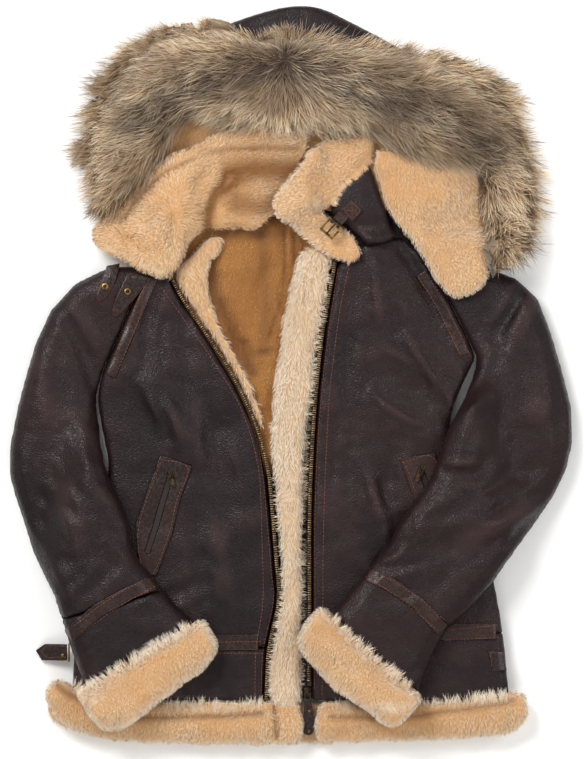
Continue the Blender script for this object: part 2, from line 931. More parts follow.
@dataclass(frozen=True)
class Pile:
    """A coat of hairs: their size, how thick they stand and how they lie."""

    length: float  # metres
    width: float
    per_cm2: float
    lean: float = 0.6  # 0 stands up, 1 lies flat
    stray: float = 0.5  # how far a hair turns from the combed way
    clump: float = 6 * MM  # the size of a lock
    gather: float = 0.2  # how far the tips of a lock draw together
    droop: float = 0.0
    parts: int = 2  # lengths of ribbon in a hair
    sideways: float = 0.2  # how much of a hair's own turn shows in its shading
    rim_cut: float = 0.0  # how much shorter hair is where the skin looks sideways
    glow: float = 0.3  # how far its shading turns up, as light that comes in between the hairs would

    def scatter(
        self,
        skin: Piece,
        comb: Field,
        seed: int,
        keep: Share,
        most: int,
    ) -> Roots:
        """Spreads hair roots over a skin.

        Args:
            skin: The object that the hairs are rooted in.
            comb: Gives the combed way at points.
            seed: Which scatter.
            keep: Gives each place's share of hairs from its points and normals.
            most: The most triangles that the hairs may have.

        Returns:
            The roots.
        """
        rng = np.random.default_rng(seed)
        points, normals = arrays(skin.data)
        corner = triangles(skin.data)
        a, b, c = points[corner[:, 0]], points[corner[:, 1]], points[corner[:, 2]]
        cross = np.cross(b - a, c - a)
        weight = np.linalg.norm(cross, axis=1) / 2 * keep((a + b + c) / 3, unit(cross))
        count = min(int(weight.sum() * 1e4 * self.per_cm2), most // (2 * self.parts - 1))
        edge = np.cumsum(weight) / weight.sum()
        picked = (np.arange(count) + rng.random(count)) / count
        face = np.minimum(np.searchsorted(edge, picked), len(edge) - 1)
        u, v = rng.random(count), rng.random(count)
        past = u + v > 1
        u, v = np.where(past, 1 - u, u)[:, None], np.where(past, 1 - v, v)[:, None]
        root = a[face] + (b - a)[face] * u + (c - a)[face] * v
        p, q, r = (normals[corner[face, i]] for i in range(3))
        out = unit(p * (1 - u - v) + q * u + r * v)
        fields = [waves(seed + i, 2 * self.clump, 6 * self.clump, 8) for i in (1, 2, 3)]
        warp = np.stack([field(root) for field in fields], 1)
        cell = np.floor((root + warp * self.clump * 0.6) / self.clump).astype(np.int64)
        _, lock = np.unique(cell @ np.array([1, 4001, 16_008_001]), return_inverse=True)
        turn = rng.normal(size=(int(lock.max()) + 1, 3))[lock] * self.stray
        turn += rng.normal(size=(count, 3)) * self.stray * 0.45
        way = comb(root) + turn
        return Roots(root, out, unit(way - out * (way * out).sum(1)[:, None]), lock)

    def grow(
        self,
        name: str,
        skin: Piece,
        comb: Field,
        seed: int,
        keep: Share,
        most: int = 190_000,
        clipped: Field | None = None,
    ) -> tuple[Piece, Roots]:
        """Grows hairs on a skin.

        Args:
            name: The new piece's name.
            skin: The object that the hairs are rooted in.
            comb: Gives the combed way at points.
            seed: Which scatter.
            keep: Gives each place's share of hairs from its points and normals.
            most: The most triangles that the hairs may have.
            clipped: Gives the share of its length that a hair has, from its root.

        Returns:
            The hairs and their roots.
        """
        roots = self.scatter(skin, comb, seed, keep, most)
        rng = np.random.default_rng(seed + 1000)
        count, locks = len(roots.place), int(roots.lock.max()) + 1
        held = np.maximum(np.bincount(roots.lock, minlength=locks), 1)
        sums = [np.bincount(roots.lock, roots.place[:, i], locks) for i in range(3)]
        middle = np.stack(sums, 1) / held[:, None]
        draw = (middle[roots.lock] - roots.place) * self.gather / self.parts
        long = self.length * (0.72 + 0.5 * rng.random(count))
        long = long * (0.85 + 0.3 * rng.random(locks)[roots.lock])
        long *= 1 - self.rim_cut * np.clip(roots.out[:, 1] * 1.2 + np.abs(roots.out[:, 0]), 0, 1)
        if clipped:
            long *= clipped(roots.place)
        spine = [roots.place.copy()]
        for k in range(self.parts):
            share = (k + 0.5) / self.parts
            laid = self.lean * min(1.0, 0.45 + 0.8 * share)
            heading = roots.out * (1 - laid) + roots.way * laid + np.array([0, 0, -self.droop * share])
            spine.append(spine[-1] + unit(heading) * (long / self.parts)[:, None] + draw)
        return self.ribbons(name, roots, spine, rng), roots

    def ribbons(
        self, name: str, roots: Roots, spine: Sequence[Array], rng: np.random.Generator
    ) -> Piece:
        """Tapered ribbons along hair lines, as one mesh.

        Args:
            name: The new piece's name.
            roots: The hairs' roots.
            spine: The points of every hair, level by level from the root.
            rng: Where the chance comes from.

        Returns:
            The hairs, with no finish yet.
        """
        count, parts = len(roots.place), len(spine) - 1
        for level in spine:
            level[:, 2] = np.clip(level[:, 2], TABLE_GAP, TOP)
        chord = unit(spine[-1] - spine[0])
        side = unit(np.cross(chord, roots.out))
        face_way = np.cross(side, chord)
        flip = np.where((face_way * roots.out).sum(1) < 0, -1.0, 1.0)[:, None]
        side, face_way = side * flip, face_way * flip
        roll = rng.uniform(-0.85, 0.85, count)[:, None]
        side = side * np.cos(roll) + face_way * np.sin(roll)
        own = unit(np.cross(side, chord))
        width = self.width * (0.7 + 0.6 * rng.random(count))
        rows, shares = [], []
        for k in range(parts):
            half = side * (width * (1 - 0.55 * (k / parts) ** 2) / 2)[:, None]
            rows += [spine[k] - half, spine[k] + half]
            shares += [k / parts] * 2
        rows.append(spine[-1])
        shares.append(1.0)
        each = len(rows)
        pattern = []
        for k in range(parts - 1):
            pattern += [[2 * k, 2 * k + 1, 2 * k + 3], [2 * k, 2 * k + 3, 2 * k + 2]]
        pattern.append([each - 3, each - 2, each - 1])
        faces = (np.arange(count)[:, None, None] * each + np.array(pattern)[None]).reshape(-1, 3)
        hairs = mesh_of(name, np.stack(rows, 1).reshape(-1, 3), faces)
        shading = roots.out * (1 - self.sideways) + own * self.sideways + np.array([0, 0, self.glow])
        shading = unit(shading)
        hairs.data.normals_split_custom_set_from_vertices(np.repeat(shading, each, 0).tolist())
        tone = rng.random(int(roots.lock.max()) + 1)[roots.lock] * 0.55 + rng.random(count) * 0.45
        carry(hairs.data, "along", np.tile(np.array(shares), count))
        carry(hairs.data, "tone", np.repeat(tone, each))
        carry(hairs.data, "flank", np.repeat(1 - np.clip(roots.out[:, 2], 0, 1), each))
        return hairs


def towards(x: float, y: float) -> Field:
    """A combed way that is the same all over."""
    return lambda points: np.tile([x, y, 0.0], (len(points), 1))


def away_from(across: float, down: float) -> Field:
    """Makes a combed way that spreads from a place of the layout grid.

    Args:
        across: The place's first number.
        down: Its second number.

    Returns:
        A function from points to the ways at them.
    """
    middle = np.array(spot(across, down))

    def comb(points: Array) -> Array:
        """The way that hairs lie at points."""
        out = unit(points[:, :2] - middle)
        return unit(np.column_stack([out, np.zeros(len(points))]))

    return comb


def upward(points: Array, normals: Array) -> Array:
    """Hairs on all but the underside."""
    return np.clip((normals[:, 2] + 0.45) * 3, 0, 1)


@dataclass(frozen=True)
class Fleece:
    """A piece of shearling with its wool outside: a soft core, and the clipped wool on it."""

    finish: Finish = Finish.HONEY
    slot: str = "honey_fleece"
    pile: Pile = Pile(5.2 * MM, 0.62 * MM, 60, 0.66, 0.34, 5 * MM, 0.14, sideways=0.15)
    voxel: float = 4.5 * MM
    rounds: int = 5
    sink: float = 4 * MM
    flank_sink: float = 1.6 * MM
    lumps: float = 1.1 * MM
    rim: float = 1.0  # how far its sides turn pale
    evening_rounds: int = 24  # how often its form is evened out along a soft line
    core_reach: float = 10 * MM  # half the width of the hollows that one skin over neighbours fills
    tuck_run: float = 15 * MM  # how soon a tucked piece is all the way under

    def cut(
        self,
        nodes: str | Sequence[str],
        comb: Field,
        seed: int,
        most: int = 60_000,
        keep: Share = upward,
        creases: Sequence[Crease | Seam] = (),
        tuck: tuple[float, float] | None = None,
        tugs: Sequence[Tug] = (),
        soft: Seam | None = None,
    ) -> list[Piece]:
        """Makes the piece for a node, or for neighbours that are one soft form.

        Args:
            nodes: The CAD node that the piece stands for, or the nodes.
            comb: The way the wool lies.
            seed: Which scatter.
            most: The most triangles of wool.
            keep: Where the wool grows.
            creases: Ridges and troughs in the skin under it.
            tuck: Where on the table the piece starts to run on under its neighbour, and how far it
                runs, both in metres towards the hood.
            tugs: Places where the piece is pulled aside.
            soft: A line along which its form is evened out.

        Returns:
            The core and the wool.
        """
        several = [nodes] if isinstance(nodes, str) else list(nodes)
        node = several[0]
        if len(several) > 1:
            piece = one_core(node + "_cloth", several, self.voxel, self.rounds, self.core_reach)
        else:
            piece = even_copy(node, self.voxel, self.rounds)
        points, normals = arrays(piece.data)
        if soft:
            points = eased(piece.data, points, soft.near(points), self.evening_rounds)
        lumpy = waves(seed + 7, 0.012, 0.05)(points) * self.lumps
        lift = sum((crease.lift(points) for crease in creases), np.zeros(len(points)))
        points[:, :2] -= normals[:, :2] * (self.flank_sink - lumpy * 0.6)[:, None]
        below = normals[:, 2] < -0.3
        points[:, 2] += np.where(below, 0.3 * self.sink, -normals[:, 2] * (self.sink - lumpy))
        points[:, 2] += lift * np.clip(normals[:, 2], 0, 1)
        points += sum((tug.pull(points) for tug in tugs), np.zeros_like(points))
        if tuck:
            points[:, 1] += tuck[1] * np.clip((points[:, 1] - tuck[0]) / self.tuck_run, 0, 1)
        reshape(piece.data, points)
        swept(piece, self.rim)
        carry(piece.data, "depth", self.pressed(points, creases))
        finished(piece, self.finish, self.slot)
        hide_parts(*several)
        wool, roots = self.pile.grow(node + "_wool", piece, comb, seed, keep, most)
        each = 2 * self.pile.parts + 1
        carry(wool.data, "depth", np.repeat(self.pressed(roots.place, creases), each))
        flank = self.rim * (1 - np.clip(roots.out[:, 2], 0, 1))
        carry(wool.data, "flank", np.repeat(flank, each))
        return [piece, finished(wool, self.finish, self.slot)]

    @staticmethod
    def pressed(points: Array, creases: Sequence[Crease | Seam]) -> Array:
        """How deep in a hollow each point lies, from 0 to 1."""
        lift = sum((crease.lift(points) for crease in creases), np.zeros(len(points)))
        return np.clip(-lift / (8 * MM), 0, 0.8)


def smooth_line(places: Sequence[Place], step: float) -> list[Vector]:
    """Lays evenly spaced points on a smooth curve.

    Args:
        places: Places of the layout grid that the curve runs through.
        step: The space between two points, in metres.

    Returns:
        The points on the table.
    """
    ends = [Vector(spot(*p)) for p in places]
    ends = [2 * ends[0] - ends[1], *ends, 2 * ends[-1] - ends[-2]]
    fine: list[Vector] = []
    for p, q, r, s in zip(ends, ends[1:], ends[2:], ends[3:]):
        for i in range(24):
            t = i / 24
            bend, twist = 2 * p - 5 * q + 4 * r - s, 3 * q - p - 3 * r + s
            fine.append(0.5 * (2 * q + (r - p) * t + bend * t * t + twist * t**3))
    fine.append(ends[-2])
    out, left = [fine[0]], step
    for p, q in zip(fine, fine[1:]):
        length = (q - p).length
        while length >= left > 0:
            p = p.lerp(q, left / length)
            out.append(p)
            length, left = (q - p).length, step
        left -= length
    return out


@dataclass(frozen=True)
class Fringe:
    """Longer wool at a seam, drawn into points that lie over the leather beside it."""

    reach: float = 4.6 * MM
    tuft: float = 5 * MM
    per_cm: float = 64
    back: float = 13 * MM  # how far behind the seam the wool is rooted
    pile: Pile = Pile(9 * MM, 0.42 * MM, 1, parts=3, sideways=0.3)
    most_drop: float = 13 * MM  # wool that would fall further over an edge is left out

    def lay(
        self,
        name: str,
        surface: Surface,
        lines: SidedRows,
        finish: Finish,
        slot: str,
        seed: int,
    ) -> Piece:
        """Lays a fringe along seams.

        Args:
            name: The new piece's name.
            surface: What the wool is rooted in and lies on.
            lines: For each seam its line of grid places, and 1 for wool that lies to the left of
                its run, or -1.
            finish: The wool's finish.
            slot: The record's material slot.
            seed: Which scatter.

        Returns:
            The fringe as one piece.
        """
        rng = np.random.default_rng(seed)
        places, ways, locks, longs, pulls = [], [], [], [], []
        for number, (line, side) in enumerate(lines):
            run = np.array([list(p) for p in smooth_line(line, 1 * MM)])
            count = int(len(run) * 0.1 * self.per_cm)
            at = rng.random(count) * (len(run) - 2)
            low = at.astype(int)
            base = run[low] + (run[low + 1] - run[low]) * (at - low)[:, None]
            tangent = unit(run[low + 1] - run[low])
            across = np.stack([-tangent[:, 1], tangent[:, 0]], 1) * side
            uneven = self.tuft * (1 + 0.4 * np.sin(at * 0.9 + number))
            lock = np.floor((at * MM + uneven) / self.tuft).astype(int)
            total = int(lock.max()) + 2
            swing = rng.normal(0, 0.3, total)[lock] + rng.normal(0, 0.3, count)
            ways.append(across * np.cos(swing)[:, None] + tangent * np.sin(swing)[:, None])
            swell = 0.72 + 0.28 * np.sin(at * 0.11 + number) + 0.16 * np.sin(at * 0.37 + 2 * number)
            reach = self.reach * swell * rng.uniform(0.5, 1.2, total)[lock]
            reach = reach * rng.uniform(0.4, 1.1, count)
            longs.append(reach - self.back * rng.uniform(0, 0.3, total)[lock])
            centre = np.bincount(lock, at, total) / np.maximum(np.bincount(lock, minlength=total), 1)
            pulls.append(tangent * ((centre[lock] - at) * MM * 0.45)[:, None])
            behind = self.back * (0.3 + 0.7 * rng.random(count))
            places.append(base - across * behind[:, None])
            locks.append(lock + number * 10_000)
        place, way, long, pull = (np.concatenate(x) for x in (places, ways, longs, pulls))
        rise = rng.uniform(0.2, 1.0, len(place))
        kept: list[int] = []
        levels: list[list[list[float]]] = [[] for _ in range(self.pile.parts + 1)]
        for i in range(len(place)):
            steps = []
            for k in range(self.pile.parts + 1):
                t = k / self.pile.parts
                x, y = place[i] + way[i] * (long[i] + self.back) * t + pull[i] * t
                found = surface.under(x, y)
                if not found:
                    break
                steps.append([x, y, found[0].z])
            for k, step in enumerate(steps):
                t = k / self.pile.parts
                bridge = steps[0][2] * (1 - t) + steps[-1][2] * t
                arch = math.sin(math.pi * (0.1 + 0.8 * t))
                step[2] = max(step[2], bridge) + MM * (0.2 + 1.5 * rise[i] * arch)
            whole = len(steps) == self.pile.parts + 1
            if whole and abs(steps[0][2] - steps[-1][2]) < self.most_drop:
                kept.append(i)
                for level, step in zip(levels, steps):
                    level.append(step)
        ids = np.array(kept)
        up = np.tile([0.0, 0.0, 1.0], (len(ids), 1))
        _, lock = np.unique(np.concatenate(locks)[ids], return_inverse=True)
        flat_way = np.concatenate([way[ids], np.zeros((len(ids), 1))], 1)
        roots = Roots(np.array(levels[0]), up, flat_way, lock)
        hairs = self.pile.ribbons(name, roots, [np.array(level) for level in levels], rng)
        return finished(hairs, finish, slot)


def set_solid(base: Array, place: Vector, along: Vector, normal: Vector) -> Array:
    """Sets a small shape on a surface.

    Args:
        base: The shape's points.
        place: Where its origin goes.
        along: The way that its X goes.
        normal: The way that its Z goes.

    Returns:
        The points at that place.
    """
    z = normal.normalized()
    x = (along - z * along.dot(z)).normalized()
    y = z.cross(x)
    turn = np.array([x, y, z])
    return base @ turn + np.array(place)


@dataclass(frozen=True)
class Stitching:
    """Rows of lockstitch: each stitch is a short rounded bar of thread that dips in at both ends."""

    length: float = 3.3 * MM
    pitch: float = 4.4 * MM
    width: float = 0.75 * MM
    proud: float = 0.3 * MM

    def shape(self) -> tuple[Array, Array]:
        """One stitch: five sections of a flat hexagonal bar."""
        xs = np.array([-0.5, -0.3, 0.0, 0.3, 0.5]) * self.length
        rises = np.array([-0.6, 0.5, 0.9, 0.5, -0.6]) * self.proud
        wide = np.array([0.45, 0.95, 1.0, 0.95, 0.45])
        ring = [(math.cos(t), math.sin(t)) for t in np.arange(5) * 2 * math.pi / 5 + math.pi / 2]
        points = [
            [x, c * self.width / 2 * w, rise + s * self.width * 0.35 * w]
            for x, rise, w in zip(xs, rises, wide)
            for c, s in ring
        ]
        faces = []
        for i in range(4):
            for j in range(5):
                p, q = i * 5 + j, i * 5 + (j + 1) % 5
                faces += [[p, q, q + 5], [p, q + 5, p + 5]]
        return np.array(points), np.array(faces)

    def sew(self, name: str, surface: Surface, rows: Rows, slot: str = "trim_leather") -> Piece:
        """Sews rows of stitches onto what lies below them.

        Args:
            name: The new piece's name.
            surface: What they are sewn on.
            rows: A line of grid places for each row.
            slot: The record's material slot.

        Returns:
            The stitches as one piece.
        """
        base, pattern = self.shape()
        points, faces = [], []
        for row in rows:
            line = smooth_line(row, self.pitch)
            for before, here, after in zip([line[0], *line], line, [*line[1:], line[-1]]):
                found = surface.under(here.x, here.y)
                if not found:
                    continue
                way = (after - before).to_3d()
                faces.append(pattern + len(points) * len(base))
                points.append(set_solid(base, found[0] + found[1] * self.proud * 0.4, way, found[1]))
        stitches = mesh_of(name, np.concatenate(points), np.concatenate(faces))
        return finished(stitches, Finish.THREAD, slot)


def dressed_node(node: str, finish: Finish, round_mm: float = 0.35) -> None:
    """Keeps a CAD node as it is and dresses it.

    Args:
        node: The node's name.
        finish: Its finish.
        round_mm: How far its edges are rounded, in mm.
    """
    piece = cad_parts[node]
    piece.data.materials.clear()
    piece.data.materials.append(finish.material())
    weld = piece.modifiers.new("weld", "WELD")
    weld.merge_threshold = SAME_POINT
    ease = piece.modifiers.new("eased edges", "BEVEL")
    ease.width, ease.segments = round_mm * MM, 2
    ease.limit_method, ease.angle_limit = "ANGLE", math.radians(35)
    ease.harden_normals = False


def seam_tape(seed: int) -> Leather:
    """How the narrow polished tapes over the seams are made."""
    return Leather(Finish.TRIM, "trim_leather", 1.5 * MM, 2, 0.12 * MM, seed)


@dataclass
class Torso:
    """Back, fronts, hem bands, and the tapes that cover their seams."""

    left_waist: Tug = Tug((500, 638), 10, 0, 3.2)
    right_folds: tuple[Crease, ...] = (
        Crease((160, 284), (143, 358), 7, -3.2, 5),
        Crease((141, 372), (170, 438), 7, -2.8, -7),
        Crease((186, 308), (186, 400), 10, -2.0, 4),
        Crease((206, 398), (214, 480), 9, -2.2, -3),
        Crease((150, 380), (186, 436), 10, 2.6, 6),
        Crease((172, 330), (176, 372), 8, 1.6),
        Crease((160, 606), (204, 580), 9, -2.0, -3),
        Crease((216, 500), (224, 590), 10, 1.6, 2),
        Crease((228, 420), (243, 500), 6, 1.4),
        Crease((196, 520), (206, 600), 8, -1.6, 3),
        Crease((120, 300), (126, 372), 6, 1.5, 2),
        Crease((176, 600), (200, 628), 8, 1.4),
    )
    left_folds: tuple[Crease, ...] = (
        Crease((376, 262), (380, 322), 5, 2.0, 2),
        Crease((408, 334), (452, 404), 6, 2.6, 4),
        Crease((386, 350), (420, 373), 4, 2.0, -2),
        Crease((371, 392), (420, 425), 5, 2.4, 4),
        Crease((356, 455), (386, 534), 7, 2.4, -4),
        Crease((440, 388), (450, 424), 6, -2.4, 2),
        Crease((398, 438), (388, 502), 9, -2.6, 4),
        Crease((466, 352), (474, 382), 8, -3.0),
        Crease((392, 300), (398, 344), 7, -1.8, 3),
        Crease((350, 300), (346, 400), 9, -1.6, 3),
        Crease((364, 560), (384, 588), 8, 1.6),
        Crease((344, 420), (338, 500), 6, 1.2),
        Crease((430, 500), (448, 530), 8, -1.8),
        Crease((404, 246), (440, 320), 7, -3.0, -3),
        Crease((452, 330), (478, 372), 6, 1.8, 2),
    )

    def build(self) -> list[Piece]:
        """Makes the torso's pieces."""
        right = Leather(seed=3).cut("front_right", self.right_folds)
        left = Leather(seed=4).cut("front_left", self.left_folds)
        bands = [
            Leather(seed=5, voxel=4 * MM, rounds=5).cut("hem_band_right"),
            Leather(seed=6, voxel=4 * MM, rounds=5).cut("hem_band_left", tugs=(self.left_waist,)),
            Leather(seed=7, voxel=6 * MM, rounds=4).cut("back_hem_band"),
        ]
        tape = seam_tape(8)
        tapes = []
        for side in ("right", "left"):
            panels = Draping([f"front_{side}", f"hem_band_{side}"])
            tapes += [tape.cut(f"{kind}_tape_{side}", (), panels) for kind in ("waist", "armhole")]
        return [right, left, *bands, *tapes]


@dataclass
class Sleeves:
    """Both sleeves with their cuffs and cuff tapes."""

    right_folds: tuple[Crease, ...] = (
        Crease((58, 306), (92, 384), 7, -3.0, -5),
        Crease((74, 300), (104, 356), 9, 2.2, -3),
        Crease((104, 456), (116, 486), 6, -3.6, -2),
        Crease((98, 452), (110, 478), 5, 2.2),
        Crease((28, 420), (60, 560), 13, -1.8, 6),
        Crease((60, 470), (90, 560), 15, 1.8, 4),
        Crease((120, 560), (84, 590), 9, -1.8),
        Crease((40, 350), (52, 420), 12, 1.5, 3),
        Crease((106, 510), (130, 548), 8, -1.6, 3),
        Crease((64, 600), (104, 566), 7, 1.6),
    )
    left_folds: tuple[Crease, ...] = (
        Crease((522, 290), (492, 336), 7, -3.4, -3),
        Crease((536, 300), (508, 352), 9, 2.0, 3),
        Crease((384, 560), (404, 546), 5, 3.0, 2),
        Crease((378, 568), (420, 560), 6, -3.0, 2),
        Crease((440, 548), (540, 494), 15, 2.4, 6),
        Crease((444, 462), (474, 460), 5, 2.8, 2),
        Crease((446, 472), (486, 474), 7, -2.4, 2),
        Crease((556, 380), (568, 450), 11, -1.8, 5),
        Crease((500, 420), (556, 402), 13, 1.6, 4),
        Crease((430, 590), (452, 566), 8, -1.8),
        Crease((410, 524), (470, 498), 9, -2.0, 5),
        Crease((480, 560), (512, 528), 11, -1.6, 4),
    )

    def build(self) -> list[Piece]:
        """Makes the sleeves' pieces."""
        made = []
        for side, creases, seed in (("right", self.right_folds, 11), ("left", self.left_folds, 21)):
            made.append(Leather(seed=seed).cut(f"sleeve_{side}_upper", creases))
            made.append(Leather(seed=seed, voxel=5 * MM, rounds=5).cut(f"sleeve_{side}_under"))
            made.append(Leather(seed=seed, rounds=5).cut(f"cuff_panel_{side}", creases))
            panels = Draping([f"sleeve_{side}_upper", f"cuff_panel_{side}"])
            made.append(seam_tape(seed).cut(f"cuff_tape_{side}", (), panels))
        return made


@dataclass
class WoolTrim:
    """The wool that shows: hem, cuffs, facings, collar, the hood's corner and the lining."""

    hem_right: tuple[Seam, ...] = (
        Seam(((128, 716), (165, 716), (222, 715), (262, 712)), 4.0, -4.5),
        Seam(((274, 706), (277, 736)), 3.5, -5.0),
        Seam(((57, 684), (66, 692), (82, 700)), 4.0, -4.5),
    )
    hem_right_ends: tuple[Tug, ...] = (Tug((60, 702), 27, 1, 25), Tug((300, 725), 14, 5))
    hem_left: tuple[Seam, ...] = (Seam(((332, 716), (400, 716), (460, 709), (512, 700)), 4.0, -3.5),)
    hem_left_ends: tuple[Tug, ...] = (
        Tug((322, 725), 14, -5),
        Tug((512, 698), 32, 0, 14),
        Tug((532, 712), 22, -5, 0),
    )
    leaf: tuple[Seam, ...] = (
        Seam(
            ((122, 222), (135, 205), (150, 188), (170, 172), (200, 158), (230, 150), (296, 149)),
            3.6,
            -4.2,
        ),
        Seam(((174, 272), (187, 258), (194, 240), (198, 222), (202, 204), (210, 188)), 8.0, 3.6),
        Seam(((206, 236), (206, 214), (212, 196), (228, 182)), 9.0, -8.5),
        Seam(((198, 150), (206, 166), (216, 180)), 13.0, 4.0),
        Seam(((236, 204), (262, 208), (280, 202)), 14.0, -5.0),
        Seam(((226, 176), (256, 170), (292, 172)), 18.0, -6.5),
    )
    leaf_ends: tuple[Tug, ...] = (
        Tug((302, 148), 20, 11),
        Tug((254, 226), 20, 0, -6),
        Tug((222, 136), 26, 0, 7),
        Tug((272, 132), 30, 0, 9),
    )
    leaf_step: Seam = Seam(((191, 146), (190, 180), (189, 215), (189, 240)), 14.0, 0.0)
    roll_ends: tuple[Tug, ...] = (
        Tug((349, 174), 20, 9, -8),
        Tug((331, 192), 15, 8, -6),
        Tug((364, 158), 14, 5, -4),
        Tug((326, 200), 12, 6, -6),
    )
    facing_ends: tuple[Tug, ...] = (
        Tug((286, 702), 16, 0, -9),
        Tug((313, 262), 24, 3, 19),
        Tug((330, 262), 12, 3, 4),
    )
    lining_folds: tuple[Seam, ...] = (
        Seam(((285, 226), (285, 262), (281, 300), (268, 340)), 2.0, -3.4),
        Seam(((293, 230), (295, 262)), 3.0, -5.0),
        Seam(((240, 250), (236, 300), (250, 350)), 16.0, 2.2),
        Seam(((208, 244), (214, 290), (234, 330), (252, 372)), 9.0, -5.0),
        Seam(((262, 240), (266, 300), (262, 350)), 9.0, -2.4),
        Seam(((222, 236), (250, 236), (282, 232)), 6.0, -3.6),
        Seam(((246, 340), (256, 352), (270, 350)), 5.0, -3.4),
    )
    drawn: Pile = Pile(7 * MM, 0.5 * MM, 54, 0.78, 0.3, 7 * MM, 0.16, sideways=0.2)
    short: Pile = Pile(3.6 * MM, 0.6 * MM, 48, lean=0.8, sideways=0.3)

    def build(self) -> list[Piece]:
        """Makes the woolly pieces."""
        return [*self.hem_and_cuffs(), *self.neck(), *self.facings(), *self.linings()]

    def hem_and_cuffs(self) -> list[Piece]:
        """Makes the fleece rolls round the hem and at the cuffs."""
        honey, down = Fleece(), towards(0.0, -1.0)
        seams, ends = self.hem_right, self.hem_right_ends
        made = honey.cut("hem_fleece_right", down, 31, 32_000, creases=seams, tugs=ends)
        seams, ends = self.hem_left, self.hem_left_ends
        made += honey.cut("hem_fleece_left", down, 32, 44_000, creases=seams, tugs=ends)
        made += honey.cut("hem_fleece_back", down, 33, 15_000, self.beside_the_pull)
        made += honey.cut("cuff_fleece_right", towards(0.4, -1.0), 34, 27_000)
        made += honey.cut("cuff_fleece_left", towards(-0.4, -1.0), 35, 27_000)
        return made

    def neck(self) -> list[Piece]:
        """Makes the collar's leaf with the neck, the left end's roll and the hood's corner."""
        made = Fleece(rounds=16, rim=0.35).cut(
            ("collar_right", "collar_back"),
            away_from(170, 215),
            36,
            56_000,
            creases=self.leaf,
            tugs=self.leaf_ends,
            soft=self.leaf_step,
        )
        roll_way = towards(-0.7, -0.3)
        made += Fleece().cut("collar_left_roll", roll_way, 38, 28_000, tugs=self.roll_ends)
        corner = Fleece(Finish.HONEY, "cream_fleece")
        made += corner.cut("hood_lobe_left", towards(0.35, -1.0), 39, 29_000)
        return made

    def facings(self) -> list[Piece]:
        """Makes the fleece that shows inside each zip edge."""
        cream = Fleece(Finish.CREAM, "cream_fleece", self.drawn, sink=3 * MM)
        left_way = towards(-0.12, -1.0)
        made = cream.cut("facing_left", left_way, 40, 40_000, tugs=self.facing_ends)
        warm = Fleece(Finish.HONEY, "cream_fleece", self.drawn, sink=3 * MM)
        made += warm.cut("facing_right", towards(0.25, -1.0), 41, 14_000)
        return made

    def linings(self) -> list[Piece]:
        """Makes the back with the wool inside it, and the hood's lining."""
        pressed = Fleece(
            Finish.LINING, "lining_fleece", self.short, 5.5 * MM, 3, sink=1.5 * MM, lumps=2.4 * MM
        )
        down, tuck = towards(0.0, -1.0), (0.15, 21 * MM)
        made = pressed.cut("back", down, 42, 22_000, self.in_the_opening, self.lining_folds, tuck)
        self.leather_outside(made[0])
        cream = Fleece(Finish.HONEY, "cream_fleece")
        made += cream.cut("hood_lining", towards(0.3, -1.0), 43, 9_000, self.in_the_hood)
        return made

    @staticmethod
    def in_the_opening(points: Array, normals: Array) -> Array:
        """Keeps the lining's wool between the fronts.

        Args:
            points: Places on the back.
            normals: The normals there.

        Returns:
            The share of wool at each.
        """
        across, down = layout(points).T
        left = np.interp(down, (215, 300, 430), (186, 208, 258))
        right = np.interp(down, (215, 330, 430), (304, 296, 280))
        seen = (across > left) & (across < right) & (down > 205) & (down < 450)
        return (seen & (normals[:, 2] > 0.2)).astype(float)

    @staticmethod
    def leather_outside(back: Piece) -> None:
        """Makes the back leather wherever it doesn't look up into the open front.

        Args:
            back: The back's piece.
        """
        back.data.materials.append(Finish.LEATHER.material())
        count = len(back.data.polygons)
        middles, ways = np.zeros(count * 3, np.float32), np.zeros(count * 3, np.float32)
        back.data.polygons.foreach_get("center", middles)
        back.data.polygons.foreach_get("normal", ways)
        middles, ways = middles.reshape(-1, 3), ways.reshape(-1, 3)
        across, down = layout(middles).T
        edge = np.interp(down, (215, 300, 400, 475), (332, 316, 301, 277))
        inside = (across > 150) & (across < edge) & (down > 190) & (down < 475) & (ways[:, 2] > 0)
        back.data.polygons.foreach_set("material_index", (~inside).astype(np.int32))

    @staticmethod
    def in_the_hood(points: Array, normals: Array) -> Array:
        """Keeps the hood lining's wool inside the fur and at the left.

        Args:
            points: Places on the lining.
            normals: The normals there.

        Returns:
            The share of wool at each.
        """
        across, down = layout(points).T
        shown = ((across > 140) & (across < 400) & (down > 96) & (down < 176)) | (across > 395)
        return (shown & (normals[:, 2] > 0)).astype(float) * np.where(across < 250, 1.0, 0.35)

    @staticmethod
    def beside_the_pull(points: Array, normals: Array) -> Array:
        """The back hem's wool is seen between the fronts, round the zip pull."""
        across = layout(points)[:, 0]
        return np.where(np.abs(across - 311) < 22, 1.0, 0.25) * (normals[:, 2] > -0.2)


